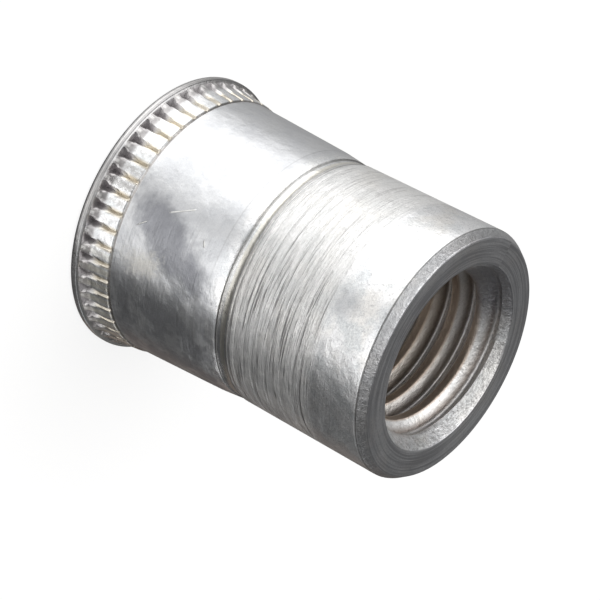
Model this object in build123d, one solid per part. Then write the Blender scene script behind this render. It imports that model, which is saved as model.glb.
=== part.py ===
from build123d import *

# Rivet nut with an open end, M8. The real nut is one piece, turned and knurled from
# aluminium bar, so it is one solid here. Sizes are in millimetres. The face of the head
# lies on Z = 0 with its centre at the origin, the axis is +Z, and the threaded end is up.

import os
from math import radians, tan

# Overall
LENGTH = 15.30               # face of the head to the flat of the threaded end
BARREL_LENGTH = 7.46         # face of the head to the undercut behind the shoulder
BODY_R = 5.50                # threaded body, just past the undercut

# Threaded body: it swells a little towards the open end, which has a chamfer
BODY_SWELL = 0.065
END_CHAMFER_R = 0.27         # across the radius
END_CHAMFER_Z = 0.40         # along the axis

# Undercut between the shoulder and the threaded body
UNDERCUT_DEPTH = 0.06
UNDERCUT_WIDTH = 0.38
UNDERCUT_RAMP = 0.20         # slope back up to the body

# Barrel: the thin wall that folds when the nut is set, widest beside the ribs
BARREL_STEP = 0.075          # its narrow end stands this far outside the body
BARREL_TAPER = 0.21          # added to the radius over the length of the barrel
BARREL_WALL = 1.075          # at its narrow end
BORE_CHAMFER = 0.25          # at the face of the head
SHOULDER_LENGTH = 0.71       # the barrel's end slopes down to the body over this length

# Head: a low lip, little wider than the barrel
LIP_OVERHANG = 0.455         # beyond the widest radius of the barrel
LIP_THICKNESS = 0.42
LIP_FACE_ROUND = 0.16
LIP_BACK_ROUND = 0.10

# Ribs under the head, with V valleys between them
RIB_COUNT = 48
RIB_LENGTH = 1.44            # from the back of the lip to the tip on the barrel
RIB_ROOT_HEIGHT = 0.335      # crest above the barrel where it meets the lip
RIB_KNEE_HEIGHT = 0.195      # the crest is steeper between the lip and the knee
RIB_KNEE_LENGTH = 0.44
RIB_TIP_HEIGHT = 0.085
RIB_TIP_SLOPE = 0.09         # length of the slope that ends the rib
VALLEY_ROOT_DEPTH = 0.045    # valley below the barrel where it meets the lip
VALLEY_TIP_HEIGHT = 0.025    # its bottom rises and runs out of the rib's end
VALLEY_ANGLE = 62.0

# Tapped hole, made at its minor radius, and the cone that leads in from the barrel
THREAD_MINOR_R = 3.38
COUNTERSINK_R = 4.14         # edge on the end face
COUNTERSINK_ANGLE = 65.0
DRILL_SETBACK = 0.14         # from the undercut to the foot of the drill cone
DRILL_ANGLE = 120.0

# Places that follow from the sizes above
barrel_end_r = BODY_R + BARREL_STEP
barrel_r = barrel_end_r + BARREL_TAPER
lip_r = barrel_r + LIP_OVERHANG
rib_tip_z = LIP_THICKNESS + RIB_LENGTH
body_z = BARREL_LENGTH + UNDERCUT_WIDTH + UNDERCUT_RAMP
barrel_bore_r = barrel_end_r - BARREL_WALL
drill_z = BARREL_LENGTH + DRILL_SETBACK
drill_cone = (barrel_bore_r - THREAD_MINOR_R) / tan(radians(DRILL_ANGLE / 2))
countersink_depth = (COUNTERSINK_R - THREAD_MINOR_R) / tan(radians(COUNTERSINK_ANGLE / 2))


def outside():
    """Points of the outer section from the lip to the end face."""
    return [
        (lip_r, 0),
        (lip_r, LIP_THICKNESS),
        (barrel_r + RIB_ROOT_HEIGHT, LIP_THICKNESS),
        (barrel_r + RIB_KNEE_HEIGHT, LIP_THICKNESS + RIB_KNEE_LENGTH),
        (barrel_r + RIB_TIP_HEIGHT, rib_tip_z - RIB_TIP_SLOPE),
        (barrel_r, rib_tip_z),
        (barrel_end_r, BARREL_LENGTH - SHOULDER_LENGTH),
        (BODY_R, BARREL_LENGTH),
        (BODY_R - UNDERCUT_DEPTH, BARREL_LENGTH),
        (BODY_R - UNDERCUT_DEPTH, BARREL_LENGTH + UNDERCUT_WIDTH),
        (BODY_R, body_z),
        (BODY_R + BODY_SWELL, LENGTH - END_CHAMFER_Z),
        (BODY_R + BODY_SWELL - END_CHAMFER_R, LENGTH),
    ]


def inside():
    """Points of the hole from the end face back to the face of the head."""
    return [
        (COUNTERSINK_R, LENGTH),
        (THREAD_MINOR_R, LENGTH - countersink_depth),
        (THREAD_MINOR_R, drill_z + drill_cone),
        (barrel_bore_r, drill_z),
        (barrel_bore_r, BORE_CHAMFER),
        (barrel_bore_r + BORE_CHAMFER, 0),
    ]


def lip_edge(solid, height):
    """The outer edge of the lip at this height."""
    level = solid.edges().filter_by_position(Axis.Z, height, height)
    return level.sort_by(lambda edge: edge.length)[-1]


def valley():
    """V cutter on the +X side, between the back of the lip and the rib tips."""
    sections = []
    for z, bottom in (
        (LIP_THICKNESS, barrel_r - VALLEY_ROOT_DEPTH),
        (rib_tip_z, barrel_r + VALLEY_TIP_HEIGHT),
    ):
        half_width = (lip_r - bottom) * tan(radians(VALLEY_ANGLE / 2))
        corners = [(bottom, 0, z), (lip_r, half_width, z), (lip_r, -half_width, z)]
        sections.append(make_face(Polyline(*corners, close=True)))
    return loft(sections, ruled=True)


section = make_face(Plane.XZ * Polyline(*outside(), *inside(), close=True))
rivet_nut = revolve(section, Axis.Z)
rivet_nut = fillet(lip_edge(rivet_nut, 0), LIP_FACE_ROUND)
rivet_nut = fillet(lip_edge(rivet_nut, LIP_THICKNESS), LIP_BACK_ROUND)
rivet_nut -= PolarLocations(0, RIB_COUNT, start_angle=180 / RIB_COUNT) * valley()

os.makedirs("parts", exist_ok=True)
export_step(rivet_nut, "parts/rivet_nut.step")
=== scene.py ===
from math import atan2, cos, degrees, hypot, pi, radians, sin, tan

import bmesh
import bpy
from mathutils import Matrix


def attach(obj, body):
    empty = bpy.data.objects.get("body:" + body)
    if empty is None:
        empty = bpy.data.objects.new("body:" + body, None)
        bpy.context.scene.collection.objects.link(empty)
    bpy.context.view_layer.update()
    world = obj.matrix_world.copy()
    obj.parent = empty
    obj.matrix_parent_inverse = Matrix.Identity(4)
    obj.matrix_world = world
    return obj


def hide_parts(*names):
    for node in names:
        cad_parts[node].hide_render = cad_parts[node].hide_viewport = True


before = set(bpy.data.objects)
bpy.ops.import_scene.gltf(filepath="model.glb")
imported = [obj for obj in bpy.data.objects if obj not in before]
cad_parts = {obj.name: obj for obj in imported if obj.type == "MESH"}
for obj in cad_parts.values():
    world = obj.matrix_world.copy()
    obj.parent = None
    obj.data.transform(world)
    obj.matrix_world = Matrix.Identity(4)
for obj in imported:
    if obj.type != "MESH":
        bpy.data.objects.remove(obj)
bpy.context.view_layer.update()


# The camera looks down on the open end with a long lens, and is rolled so that the axis
# of the standing nut runs from the upper left to the lower right of the picture.
mm = 0.001
lens = bpy.data.cameras.new("camera")
lens.lens, lens.sensor_width = 180, 36
lens.clip_start, lens.clip_end = 5 * mm, 5
camera = bpy.data.objects.new("camera", lens)
camera.location = (0.76 * mm, -107.563 * mm, 71.451 * mm)
roll = Matrix.Rotation(radians(117.967), 3, "Z")
tip = Matrix.Rotation(radians(59.38), 3, "X")
camera.rotation_euler = (tip @ roll).to_euler()
bpy.context.scene.collection.objects.link(camera)
bpy.context.scene.camera = camera


# The studio is a white table in a white room. The nut mirrors soft boxes that stand round
# it: a wide bright one at the front left, narrower ones round the rest, and a lamp above.
class Socket:
    """An output of a node. Sums, products and differences of these add Math nodes."""

    def __init__(self, tree, output=None):
        self.tree, self.output = tree, output

    def node(self, kind, settings=None, values=None, out=0):
        """Adds a node of this type, with its settings first, then its values or links."""
        made = self.tree.nodes.new(kind)
        for name, value in (settings or {}).items():
            setattr(made, name, value)
        for name, value in (values or {}).items():
            if isinstance(value, Socket):
                self.tree.links.new(value.output, made.inputs[name])
            else:
                made.inputs[name].default_value = value
        return Socket(self.tree, made.outputs[out])

    def math(self, operation, *values):
        return self.node("ShaderNodeMath", {"operation": operation}, dict(enumerate(values)))

    def __add__(self, other):
        return self.math("ADD", self, other)

    def __radd__(self, other):
        return self.math("ADD", other, self)

    def __sub__(self, other):
        return self.math("SUBTRACT", self, other)

    def __rsub__(self, other):
        return self.math("SUBTRACT", other, self)

    def __mul__(self, other):
        return self.math("MULTIPLY", self, other)

    def __rmul__(self, other):
        return self.math("MULTIPLY", other, self)

    def __truediv__(self, other):
        return self.math("DIVIDE", self, other)

    def ramp(self, low, high):
        """0 where this is at low, 1 at high, with a soft start and end."""
        return self.node("ShaderNodeMapRange", {"interpolation_type": "SMOOTHSTEP"},
                         {"Value": self, "From Min": low, "From Max": high})

    def tint(self, factor, colour):
        """This colour, turned to the other where the factor is 1."""
        return self.node("ShaderNodeMix", {"data_type": "RGBA"},
                         {0: factor, 6: self, 7: colour}, 2)


studio = bpy.data.worlds.new("studio")
bpy.context.scene.world = studio
studio.use_nodes = True
studio.node_tree.nodes.clear()
light = Socket(studio.node_tree)
toward = light.node("ShaderNodeTexCoord", out="Generated")
east, north, up = (light.node("ShaderNodeSeparateXYZ", {}, {0: toward}, k) for k in range(3))
level = light.math("SQRT", east * east + north * north)


def box_light(azimuth, half_width, soft, bottom=-50, top=80, edge=10):
    """A tall box seen in this direction, between these heights above the floor."""
    facing = (east * cos(radians(azimuth)) + north * sin(radians(azimuth))) / level
    across = facing.ramp(cos(radians(half_width + soft)), cos(radians(half_width - soft)))
    rise = up.ramp(sin(radians(bottom - edge)), sin(radians(bottom + edge)))
    past_overhead = 1.01
    ceiling = sin(radians(top + edge)) if top + edge < 90 else past_overhead
    return across * rise * up.ramp(ceiling, sin(radians(top - edge)))


def lamp(azimuth, elevation, half_width, soft):
    """A round lamp, this wide as seen from the nut."""
    flat = cos(radians(elevation))
    facing = (east * (flat * cos(radians(azimuth))) + north * (flat * sin(radians(azimuth)))
              + up * sin(radians(elevation)))
    return facing.ramp(cos(radians(half_width + soft)), cos(radians(half_width - soft)))


# At the front left, the bright box and a fainter one that widens it
glow = 0.07 + 1.5 * box_light(211, 34, 25, top=2, edge=14)
glow = glow + 0.36 * box_light(190, 70, 32, bottom=-70, top=6, edge=12)
# At the front right, a low strip and a taller box
glow = glow + 2.5 * box_light(300, 26, 9, bottom=-20, top=-6, edge=4)
glow = glow + 0.90 * box_light(291, 24, 12, top=-20)
# At the right, two low strips for the ribs
glow = glow + 0.65 * box_light(12, 32, 10, bottom=-15, top=-4, edge=3)
glow = glow + 0.6 * box_light(22, 10, 6, bottom=-20, top=-13, edge=3)
# Behind, for the far edge and the end face
glow = glow + 0.12 * box_light(126, 24, 14, top=-5) + 0.10 * box_light(90, 50, 20, bottom=5)
# Over the front, for the chamfer and the countersink, and the lamp above
glow = glow + 0.36 * box_light(222, 40, 26, bottom=16) + 0.90 * box_light(266, 56, 34, bottom=22)
glow = glow + 2.2 * lamp(166, 64, 21, 15)
rosy = 0.15 * box_light(60, 7, 6, bottom=-60, top=-10)

PAPER_WHITE, LAMP_WHITE, ROSE = (1, 1, 1, 1), (1.0, 0.995, 0.985, 1), (1.0, 0.72, 0.58, 1)
boxes = light.node("ShaderNodeBackground", {}, {"Color": LAMP_WHITE, "Strength": glow})
hint = light.node("ShaderNodeBackground", {}, {"Color": ROSE, "Strength": rosy})
lit = light.node("ShaderNodeAddShader", {}, {0: boxes, 1: hint})
paper = light.node("ShaderNodeBackground", {}, {"Color": PAPER_WHITE, "Strength": 1.0})
seen = light.node("ShaderNodeLightPath", out="Is Camera Ray")
whole = light.node("ShaderNodeMixShader", {}, {0: seen, 1: lit, 2: paper})
end = studio.node_tree.nodes.new("ShaderNodeOutputWorld")
studio.node_tree.links.new(whole.output, end.inputs["Surface"])

bpy.ops.object.select_all(action="DESELECT")
bpy.ops.mesh.primitive_plane_add(size=1.2)
floor = bpy.context.object
floor.name = "floor"
paint = bpy.data.materials.new("white_table")
paint.use_nodes = True
paint.node_tree.nodes.clear()
table = Socket(paint.node_tree)
matt = table.node("ShaderNodeBsdfDiffuse", {}, {"Color": (0.3, 0.3, 0.3, 1)})
shine = table.node("ShaderNodeEmission", {}, {"Color": PAPER_WHITE, "Strength": 0.80})
both = table.node("ShaderNodeAddShader", {}, {0: matt, 1: shine})
end = paint.node_tree.nodes.new("ShaderNodeOutputMaterial")
paint.node_tree.links.new(both.output, end.inputs["Surface"])
floor.data.materials.append(paint)
floor.visible_glossy = floor.visible_diffuse = floor.visible_shadow = False
bpy.context.scene.view_settings.view_transform = "Standard"


# The nut is one piece turned from aluminium bar, knurled under the head and tapped. Its
# skin grows here from a ring in the barrel's bore, down to the face of the head, over the
# lip and the ribs, and up the outside to the countersink of the threaded end.
RIBS, COLUMNS = 48, 480
RIB_STEP, COLUMN_STEP = 360 / RIBS, 360 / COLUMNS
CLOSE = 0.003
bpy.ops.object.select_all(action="DESELECT")
bpy.ops.mesh.primitive_circle_add(vertices=COLUMNS, radius=4.26 * mm, location=(0, 0, 7.738 * mm))
nut = bpy.context.object
bpy.ops.object.transform_apply(location=True)
nut.name = nut.data.name = "turned_nut"
bpy.ops.object.mode_set(mode="EDIT")
bpy.ops.mesh.select_all(action="SELECT")
ring = [4.26, 7.738]


def turn_to(*places):
    """Extrudes the open ring to each radius and height, in millimetres."""
    for radius, height in places:
        climb = (0, 0, (height - ring[1]) * mm)
        bpy.ops.mesh.extrude_edges_move(TRANSFORM_OT_translate={"value": climb})
        grow = radius / ring[0]
        bpy.ops.transform.resize(value=(grow, grow, 1), center_override=(0, 0, 0))
        ring[:] = radius, height


def pick(test):
    """Selects the points whose radius, azimuth and height pass the test."""
    points = bmesh.from_edit_mesh(nut.data)
    for v in points.verts:
        across, deep, high = v.co / mm
        v.select_set(test(hypot(across, deep), degrees(atan2(deep, across)), high))
    points.select_flush_mode()
    bmesh.update_edit_mesh(nut.data)


# Bore of the barrel, the chamfer at its mouth and the face of the head
turn_to((4.38, 7.669), (4.47, 7.617), (4.495, 7.595), (4.5, 7.56))
turn_to((4.5, 6.0), (4.5, 4.2), (4.5, 2.4), (4.5, 0.8))
turn_to((4.502, 0.3), (4.512, 0.245), (4.6, 0.15), (4.73, 0.02), (4.752, 0.004))
turn_to((4.79, 0), (5.1, 0), (5.5, 0), (6.03, 0))

# Lip, with a small round at each edge
turn_to((6.09, 0.002), (6.142, 0.014), (6.19, 0.04), (6.221, 0.08), (6.237, 0.13))
turn_to((6.24, 0.18), (6.24, 0.25), (6.24, 0.32))
turn_to((6.234, 0.36), (6.214, 0.39), (6.18, 0.411), (6.145, 0.42))

# Ribs: their crests first, as plain rings, then V valleys pressed between them
crests = [(6.119, 0.424), (6.112, 0.45), (6.095, 0.50), (6.063, 0.60), (6.03, 0.70),
          (5.997, 0.80), (5.98, 0.86), (5.967, 0.95), (5.943, 1.14), (5.92, 1.32),
          (5.898, 1.5), (5.882, 1.66), (5.872, 1.745), (5.862, 1.785), (5.84, 1.82), (5.81, 1.852)]
turn_to(*crests)
bpy.ops.mesh.select_mode(type="VERT")
HALF_V = radians(31)
column_width = 2 * pi * 5.8 / COLUMNS
for crest, height in crests:
    valley_floor = 5.742 + 0.068 * (height - 0.42) / 1.44
    for step in range(4):
        depth = valley_floor + step * column_width / tan(HALF_V)
        if depth < crest - CLOSE:
            pick(lambda r, a, z: abs(z - height) < CLOSE and abs(r - crest) < 0.004
                 and abs(abs(a % RIB_STEP - RIB_STEP / 2) - step * COLUMN_STEP) < 0.1)
            press = (depth / crest, depth / crest, 1)
            bpy.ops.transform.resize(value=press, center_override=(0, 0, 0))
pick(lambda r, a, z: abs(z - ring[1]) < CLOSE and r > 5.7)
bpy.ops.mesh.select_mode(type="EDGE")

# Barrel, the shoulder where it meets the body, and the undercut behind it
turn_to((5.786, 1.88), (5.781, 1.93), (5.776, 2.02), (5.756, 2.6), (5.72, 3.5))
turn_to((5.675, 4.6), (5.635, 5.6), (5.596, 6.5), (5.577, 6.72))
turn_to((5.571, 6.77), (5.56, 6.88), (5.545, 7.03), (5.529, 7.18), (5.514, 7.32))
turn_to((5.503, 7.42), (5.492, 7.452), (5.47, 7.462), (5.448, 7.468), (5.44, 7.485))
turn_to((5.438, 7.6), (5.44, 7.76), (5.445, 7.83), (5.464, 7.9), (5.488, 7.98), (5.499, 8.03))

# Body: tool marks left by the turning, the last of them under the smoother end
MICRON = 0.001
tool_marks = ((8.12, 16), (8.47, 12), (8.98, 13), (9.4, 15), (9.7, 9),
              (10.1, 13), (10.42, 9), (10.95, 10), (11.6, 9), (12.16, 7))
for height, cut in tool_marks:
    body_radius = 5.5 + 0.065 * (height - 8.04) / 6.86
    turn_to((body_radius, height - 0.05), (body_radius - cut * MICRON, height),
            (body_radius, height + 0.035))
turn_to((5.548, 13.1), (5.557, 14.0), (5.5645, 14.8), (5.561, 14.866), (5.548, 14.912), (5.524, 14.96))

# Chamfer, end face and the first of the countersink
turn_to((5.41, 15.13), (5.325, 15.255), (5.302, 15.283), (5.27, 15.296), (5.22, 15.3))
turn_to((5.0, 15.3), (4.7, 15.3), (4.4, 15.3), (4.2, 15.3))
turn_to((4.165, 15.297), (4.142, 15.283), (4.128, 15.262), (4.105, 15.23))
bpy.ops.object.mode_set(mode="OBJECT")

# Thread, cut with a right-hand M8 tap: the section of one turn is wound up the hole
PITCH, MINOR = 1.25, 3.38
section = [(MINOR, 0), (MINOR, 0.10), (3.384, 0.135), (3.40, 0.172), (3.50, 0.236), (3.62, 0.305),
           (3.76, 0.386), (3.9, 0.467), (3.965, 0.51), (3.992, 0.557), (4.0, 0.625),
           (3.992, 0.693), (3.965, 0.74), (3.9, 0.783), (3.76, 0.864), (3.62, 0.945),
           (3.50, 1.014), (3.40, 1.078), (3.384, 1.115), (MINOR, 1.15), (MINOR, PITCH)]
bpy.ops.object.select_all(action="DESELECT")
bpy.ops.mesh.primitive_plane_add(size=mm)
thread = bpy.context.object
bpy.ops.object.mode_set(mode="EDIT")
bpy.ops.mesh.select_mode(type="VERT")
bpy.ops.mesh.select_all(action="SELECT")
bpy.ops.mesh.merge(type="CENTER")
bpy.ops.transform.translate(value=(MINOR * mm, 0, 6.1625 * mm))
for (r0, z0), (r1, z1) in zip(section, section[1:]):
    onward = ((r1 - r0) * mm, 0, (z1 - z0) * mm)
    bpy.ops.mesh.extrude_vertices_move(TRANSFORM_OT_translate={"value": onward})
bpy.ops.object.mode_set(mode="OBJECT")
wind = thread.modifiers.new("wind", "SCREW")
wind.screw_offset, wind.iterations = PITCH * mm, 8
wind.steps = wind.render_steps = 240
bpy.ops.object.modifier_apply(modifier=wind.name)

# The hole's two cones open it out: the drill's at the foot, the countersink at the mouth
DRILL_TOP, DRILL_SLOPE = 8.247, 1.7316
SINK_FOOT, SINK_SLOPE = 14.107, 0.637
bpy.ops.object.mode_set(mode="EDIT")
bpy.ops.mesh.select_all(action="SELECT")
bpy.ops.mesh.remove_doubles(threshold=0.0005 * mm)
points = bmesh.from_edit_mesh(thread.data)
for v in points.verts:
    reach, high = hypot(v.co.x, v.co.y) / mm, v.co.z / mm
    opened = MINOR + max((DRILL_TOP - high) * DRILL_SLOPE, (high - SINK_FOOT) * SINK_SLOPE)
    if opened > reach:
        v.co.x, v.co.y = v.co.x * opened / reach, v.co.y * opened / reach
bmesh.update_edit_mesh(thread.data)
for height, away in ((7.75, -1), (15.215, 1)):
    bpy.ops.mesh.select_all(action="SELECT")
    bpy.ops.mesh.bisect(plane_co=(0, 0, height * mm), plane_no=(0, 0, away),
                        clear_outer=True, threshold=1e-7)
bpy.ops.object.mode_set(mode="OBJECT")

# The two skins are joined, and the gap at each end of the thread is bridged
nut.select_set(True)
bpy.context.view_layer.objects.active = nut
bpy.ops.object.join()
bpy.ops.object.mode_set(mode="EDIT")
for low, high in ((7.7, 7.8), (15.2, 15.25)):
    bpy.ops.mesh.select_mode(type="EDGE")
    bpy.ops.mesh.select_all(action="DESELECT")
    edges = bmesh.from_edit_mesh(nut.data).edges
    for edge in edges:
        edge.select_set(edge.is_boundary and all(low < v.co.z / mm < high for v in edge.verts))
    bmesh.update_edit_mesh(nut.data)
    bpy.ops.mesh.bridge_edge_loops()
bpy.ops.mesh.select_all(action="SELECT")
bpy.ops.mesh.normals_make_consistent(inside=False)
bpy.ops.object.mode_set(mode="OBJECT")
bpy.ops.object.shade_smooth_by_angle(angle=radians(32))

# The finish is bare aluminium, soft and dull from handling: bright where it was rubbed,
# grey where it is stained, with brown film in the thread and dirt at the foot of the ribs.
# Shade, highlights and dark reflections are painted in too: in the thread, on the ribs and
# the lip, in the undercut, on the barrel and on its darker side.
metal = bpy.data.materials.new("bare_aluminium")
metal.use_nodes = True
metal.node_tree.nodes.clear()
skin = Socket(metal.node_tree)
place = skin.node("ShaderNodeTexCoord", out="Object")
place = skin.node("ShaderNodeVectorMath", {"operation": "SCALE"}, {0: place, "Scale": 1 / mm})
x, y, z = (skin.node("ShaderNodeSeparateXYZ", {}, {0: place}, k) for k in range(3))
radius = skin.math("SQRT", x * x + y * y)
azimuth = skin.math("ARCTAN2", y, x) * (180 / pi)


def cloud(scale, detail=3.0, rough=0.55, stretch=(1, 1, 1), shift=0.0):
    """Noise with this many cells to the millimetre, 0 to 1 about a half."""
    spot = skin.node("ShaderNodeMapping", {}, {"Vector": place, "Location": (shift, shift, shift),
                                               "Scale": stretch})
    return skin.node("ShaderNodeTexNoise", {"noise_dimensions": "3D"},
                     {"Vector": spot, "Scale": scale, "Detail": detail, "Roughness": rough})


def between(value, low, high, edge):
    """1 where the value lies between low and high."""
    return value.ramp(low - edge, low + edge) * value.ramp(high + edge, high - edge)


def spread(at_azimuth, at_height, wide, tall):
    """1 in the middle of a stain, 0 at its edge and below 0 past it."""
    u, w = azimuth - at_azimuth, z - at_height
    return 1 - skin.math("SQRT", u * u / wide + w * w / tall)


def plain(red, green, blue):
    """One colour, to be tinted."""
    dab = skin.node("ShaderNodeRGB")
    dab.output.default_value = (red, green, blue, 1)
    return dab


# What the marks are made of: clouds from blotches down to grain, and lines round the nut
blotch = cloud(0.9, 5, 0.6)
dent = cloud(1.5, 3, 0.5, shift=21)
swell = cloud(0.55, 2, 0.5, shift=41)
speck = cloud(6, 4, 0.65, shift=7)
grain = cloud(17, 2, shift=3)
streak = cloud(1.0, 4, 0.7, stretch=(0.22, 0.22, 8), shift=11)
fine = cloud(1.0, 3, 0.7, stretch=(0.4, 0.4, 26), shift=5)
patch = cloud(1.0, 2, 0.5, stretch=(0.45, 0.45, 0.8), shift=31)
rings = skin.node("ShaderNodeCombineXYZ", {}, {0: radius * 8, 1: azimuth * 0.012, 2: 0.0})
rings = skin.node("ShaderNodeTexNoise", {}, {"Vector": rings, "Scale": 1.0, "Detail": 4.0,
                                             "Roughness": 0.65})

# Where each part of the nut is
outside = radius.ramp(4.8, 5.0)
past_ribs = z.ramp(1.87, 1.93)
barrel = past_ribs * (1 - z.ramp(6.75, 7.4)) * outside
turned = between(z, 8.1, 12.4, 0.3) * outside
end_face = z.ramp(15.26, 15.285)
chamfer = between(z, 14.93, 15.27, 0.02) * outside
lip = (1 - z.ramp(0.40, 0.43)) * radius.ramp(6.10, 6.16)
in_ribs = between(z, 0.42, 1.84, 0.02) * outside
valley = 1 - skin.math("ABSOLUTE", skin.math("FRACT", azimuth / RIB_STEP + 100) - 0.5) * 2
rib_face = in_ribs * (1 - valley.ramp(0.2, 0.5))
shaded_rib_root = in_ribs * (1 - z.ramp(0.72, 0.98))
rib_end = between(z, 1.82, 1.89, 0.02) * outside
rib_glints = between(z, 0.42, 0.60, 0.05) * (1 - valley.ramp(0.08, 0.26)) * outside
hole = (1 - radius.ramp(3.85, 4.05)) * z.ramp(7.8, 8.3) * (1 - z.ramp(14.55, 14.8))
deep = 1 - z.ramp(12.3, 13.4)
root = hole * radius.ramp(3.55, 3.9)
crest = hole * (1 - radius.ramp(3.39, 3.50))
within_mouth = 1 - radius.ramp(4.16, 4.2)
cone = within_mouth * z.ramp(14.6, 14.85) * (1 - end_face)
undercut = between(z, 7.68, 7.95, 0.04) * outside
line_at_shoulder = between(z, 6.70, 6.76, 0.02) * outside
undercut_shade_line = between(z, 7.45, 7.57, 0.03) * outside
body_start_dark_line = between(z, 8.03, 8.10, 0.02) * outside
line_at_chamfer = between(z, 14.865, 14.93, 0.015) * outside

# The metal itself, mottled all over, and the barrel greyed: partly its own duller tone, partly painted
# shade standing in for the dimmer light it mirrors beside the head
mottle = 0.5 + 0.25 * azimuth.ramp(-125, -100) - 0.25 * azimuth.ramp(-20, 20)
colour = plain(0.88, 0.885, 0.90).tint(patch.ramp(0.45, 0.65) * 0.5, (0.84, 0.81, 0.76, 1))
colour = colour.tint(blotch.ramp(0.43, 0.60) * mottle, (0.64, 0.67, 0.69, 1))
colour = colour.tint(speck.ramp(0.52, 0.70) * 0.5, (0.45, 0.45, 0.46, 1))
colour = colour.tint(grain.ramp(0.52, 0.68) * 0.5, (0.97, 0.97, 0.96, 1))
colour = colour.tint(grain.ramp(0.48, 0.32) * 0.4, (0.45, 0.45, 0.46, 1))
greyed_and_shaded_barrel = plain(0.64, 0.65, 0.67).tint(blotch.ramp(0.42, 0.62) * 0.4, (0.52, 0.53, 0.56, 1))
colour = colour.tint(barrel * 0.85, greyed_and_shaded_barrel)

# A dull spot by the chamfer, a stain that lies aslant down the barrel, painted shade in blotches on
# the darker side past it, and a place rubbed bright between them
dull = (spread(-89, 13.1, 70, 0.9) + (blotch - 0.5) * 1.4).ramp(0.0, 0.8) * outside
stain = spread(z * 6.0 - 103, 4.2, 270, 10)
stain = (stain + (blotch - 0.5) * 1.2).ramp(0.0, 0.6) * barrel
rubbed = spread(-64, 3.3, 60, 1.6) + (speck - 0.5) * 1.6 + (blotch - 0.5) * 1.6
rubbed = rubbed.ramp(-0.1, 0.9) * barrel
# Painted shade, broken into blotches, on the darker side of the barrel and body, from azimuth -50 to
# 40
side_shade_blotches = azimuth.ramp(-62, -46) * (1 - azimuth.ramp(30, 60)) * blotch.ramp(0.40, 0.56)
side_shade_blotches = side_shade_blotches * past_ribs * (1 - z.ramp(11.6, 12.8) * 0.8) * outside
colour = colour.tint(dull * 0.5, (0.42, 0.43, 0.45, 1))
colour = colour.tint(stain * 0.85, (0.24, 0.245, 0.27, 1))
colour = colour.tint(side_shade_blotches * 0.6, (0.36, 0.365, 0.39, 1))
colour = colour.tint(rubbed * 0.7, (0.94, 0.92, 0.87, 1))

# The turned part of the body: bright, with dark lines that are partly torn tool marks and partly
# painted shade of the grooves. The lines are painted faint where the bright highlight falls, strongest
# just past it, and lighter again at the back
line_strength_by_light = (0.35 - azimuth.ramp(-150, -120) * 0.2 + azimuth.ramp(-108, -80) * 0.85
        - azimuth.ramp(10, 50) * 0.65)
torn_and_groove_shade = (turned * 0.85 + 0.10 * barrel) * line_strength_by_light * streak.ramp(0.53, 0.60) * patch.ramp(0.34, 0.50)
colour = colour.tint(turned * 0.55, (0.93, 0.925, 0.91, 1))
colour = colour.tint(torn_and_groove_shade, (0.20, 0.195, 0.20, 1))
colour = colour.tint(turned * line_strength_by_light * fine.ramp(0.54, 0.64) * 0.45, (0.28, 0.28, 0.29, 1))

# Lip, painted darker as shade, less so on the side from azimuth -45 to 20, with a painted highlight
# line round its middle, and the chamfer
lip_lighter_side = azimuth.ramp(-75, -45) * (1 - azimuth.ramp(20, 60))
colour = colour.tint(lip * (0.74 - 0.64 * lip_lighter_side), (0.31, 0.30, 0.30, 1))
# A painted highlight line round the middle of the lip
colour = colour.tint(lip * between(z, 0.20, 0.25, 0.025) * 0.6, (0.85, 0.84, 0.83, 1))
colour = colour.tint(chamfer * (0.15 + 1.0 * speck), (0.42, 0.42, 0.435, 1))

# Ribs: faces dulled in places and given a painted warm highlight from azimuth -60 on, painted shade at
# their roots by the lip with a painted glint on each, dirt in the valleys
dulled = azimuth.ramp(-115, -100) * (1 - azimuth.ramp(-82, -66)) * speck.ramp(0.40, 0.56)
brown_dirt = in_ribs * valley.ramp(0.45, 0.78) * z.ramp(0.7, 1.2)
grey_dirt = in_ribs * valley.ramp(0.5, 0.75) * (1 - z.ramp(0.7, 1.1))
# A painted warm highlight on the rib faces from azimuth -60 on
colour = colour.tint(rib_face * azimuth.ramp(-68, -50) * 0.85, (1.0, 0.97, 0.88, 1))
colour = colour.tint(rib_face * dulled * 0.55, (0.42, 0.41, 0.40, 1))
# Painted shade on the ribs where they steepen down to the lip
colour = colour.tint(shaded_rib_root * 0.75, (0.36, 0.34, 0.34, 1))
# A painted glint on each rib by the lip
colour = colour.tint(rib_glints * 0.55, (0.95, 0.94, 0.93, 1))
colour = colour.tint(brown_dirt * 0.6, (0.60, 0.52, 0.38, 1))
colour = colour.tint(grey_dirt * 0.5, (0.50, 0.48, 0.49, 1))
colour = colour.tint(rib_end * 0.6, (0.26, 0.23, 0.21, 1))

# Lines where one surface meets the next: painted shade in the undercut, a painted dark reflection
# where the body starts, grey lines at the shoulder and the chamfer, and a warm band in the undercut
colour = colour.tint(undercut_shade_line * (0.3 + 0.5 * patch), (0.15, 0.145, 0.135, 1))
colour = colour.tint(line_at_shoulder * patch * 0.5, (0.3, 0.3, 0.3, 1))
# A painted dark reflection along where the body starts, above the slope out of the undercut
colour = colour.tint(body_start_dark_line * 0.6, (0.22, 0.21, 0.19, 1))
colour = colour.tint(undercut * 0.5, (0.90, 0.86, 0.74, 1))
colour = colour.tint(line_at_chamfer * 0.75, (0.15, 0.15, 0.15, 1))
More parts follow.
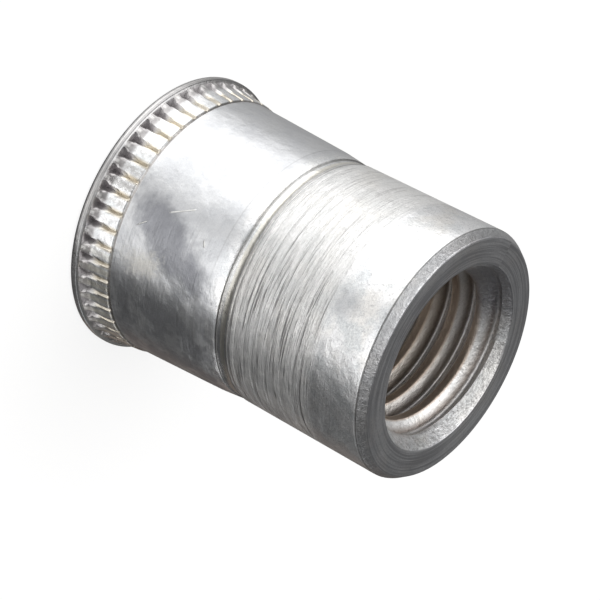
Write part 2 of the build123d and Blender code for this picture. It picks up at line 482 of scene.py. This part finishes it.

# Thread: brown film with painted shade that deepens down the hole, a painted dark brown reflection on
# the crests and painted shade in the roots; then the end face and the countersink
colour = colour.tint(hole * (0.15 + 0.45 * deep), (0.62, 0.54, 0.45, 1))
# Painted dark brown reflection on the crest flats
colour = colour.tint(crest * 0.85, (0.42, 0.33, 0.26, 1))
# Painted shade in the thread roots
colour = colour.tint(root * 0.75, (0.16, 0.11, 0.08, 1))
wiped = azimuth.ramp(25, 60) * (1 - azimuth.ramp(85, 110))
ringed = end_face * (0.45 - 0.2 * wiped) + end_face * rings.ramp(0.42, 0.58) * 0.4
smut = azimuth.ramp(112, 145) + (1 - azimuth.ramp(-180, -160))
smut = smut * z.ramp(13.7, 14.3) * within_mouth
colour = colour.tint(ringed, (0.30, 0.30, 0.32, 1))
colour = colour.tint(smut * (0.5 + speck * 0.6), (0.26, 0.26, 0.285, 1))
colour = colour.tint(cone * speck.ramp(0.45, 0.6) * 0.45, (0.38, 0.37, 0.37, 1))


def scratch(at_azimuth, at_height, long, lean, wide):
    """1 along a scratch on the barrel: its middle, length and lean from the round."""
    mm_to_a_degree = 0.0998
    u, w = (azimuth - at_azimuth) * mm_to_a_degree, z - at_height
    along = skin.math("ABSOLUTE", u * cos(radians(lean)) + w * sin(radians(lean)))
    across = skin.math("ABSOLUTE", w * cos(radians(lean)) - u * sin(radians(lean)))
    return (1 - across.ramp(wide * 0.3, wide)) * (1 - along.ramp(long / 2 - 0.15, long / 2)) * barrel


scratches = scratch(-92, 4.3, 1.3, -60, 0.045)
for scratched in ((-80, 2.8, 0.6, -50, 0.035), (-84, 5.9, 0.4, 30, 0.05), (60, 3.4, 1.4, -35, 0.03),
                  (150, 4.6, 0.9, 50, 0.03), (-10, 5.2, 1.1, 65, 0.03)):
    scratches = scratches + scratch(*scratched)
colour = colour.tint(scratches * 0.9, (1.0, 1.0, 0.98, 1))

# Roughness, and heights in millimetres
rough = (0.17 + barrel * 0.04 + blotch * 0.14 + speck * 0.10 + hole * 0.09 + turned * 0.09
         + cone * 0.1 + z.ramp(8.0, 8.3) * 0.06 + rubbed * 0.22 + scratches * 0.25)
height = dent * 0.028 + swell * 0.05 + speck * (0.010 - 0.004 * barrel) + grain * 0.003
height = height + fine * 0.004 * outside + streak * (0.008 * barrel + 0.050 * turned)
height = height + rings * 0.016 * end_face + speck * 0.040 * (cone + smut)
height = height + speck * 0.022 * hole + blotch * 0.02 * hole
height = height + (speck * 0.036 + grain * 0.012) * chamfer + scratches * 0.02
bump = skin.node("ShaderNodeBump", {}, {"Strength": 1.0, "Distance": mm, "Height": height})
finish = skin.node("ShaderNodeBsdfPrincipled", {}, {"Metallic": 1.0, "Base Color": colour,
                                                    "Roughness": rough, "Normal": bump})
end = metal.node_tree.nodes.new("ShaderNodeOutputMaterial")
metal.node_tree.links.new(finish.output, end.inputs["Surface"])
nut.data.materials.clear()
nut.data.materials.append(metal)

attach(nut, "root")
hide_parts("rivet_nut")
